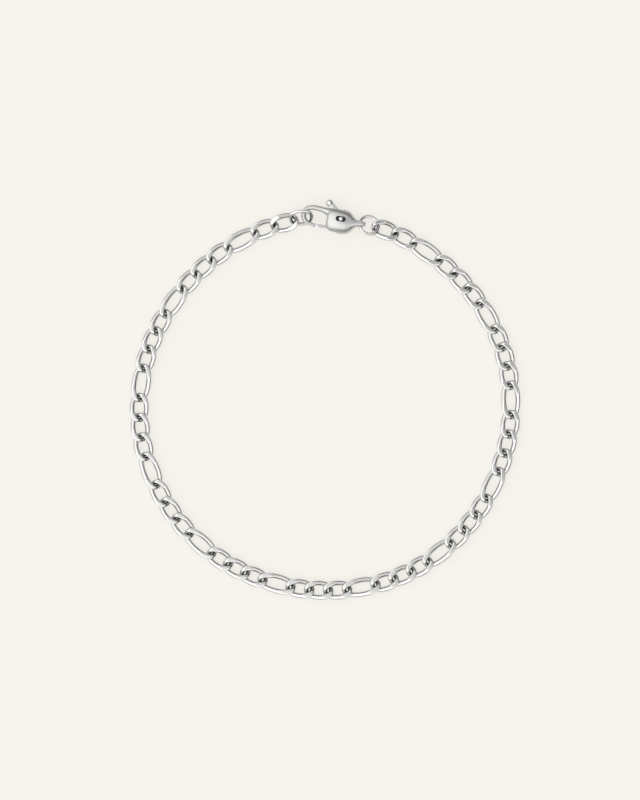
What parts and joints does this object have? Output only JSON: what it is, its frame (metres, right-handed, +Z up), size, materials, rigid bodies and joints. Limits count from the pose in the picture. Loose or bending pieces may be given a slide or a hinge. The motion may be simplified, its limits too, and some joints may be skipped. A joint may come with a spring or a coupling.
{
  "type": "link bracelet",
  "caption": "Closed steel link bracelet of long and short flattened curb links with a sprung lobster clasp, laid flat as a ring.",
  "frame": {"origin": "middle of the laid bracelet's box, on the surface that it rests on", "axes": "+Z up from the surface, through the opening for the wrist; +Y towards the clasp; +X to the right with the clasp at the top"},
  "size_m": [0.0618, 0.0632, 0.0028],
  "materials": {
    "chain_steel": "polished",
    "clasp_steel": "polished"
  },
  "bodies": {
    "bracelet": {"chain": "chain_steel", "jump_ring": "clasp_steel", "clasp_body": "clasp_steel", "clasp_pin": "clasp_steel"},
    "lever": {"clasp_lever": "clasp_steel"}
  },
  "joints": [
    {"name": "lever_hinge", "type": "hinge", "parent": "bracelet", "child": "lever", "pos_m": [0.00249, 0.02854, 0.00145], "axis": [0, 0, -1], "range_deg": [0, 25], "stiffness_Nm_per_rad": 0.002, "springref_deg": -17.19}
  ]
}
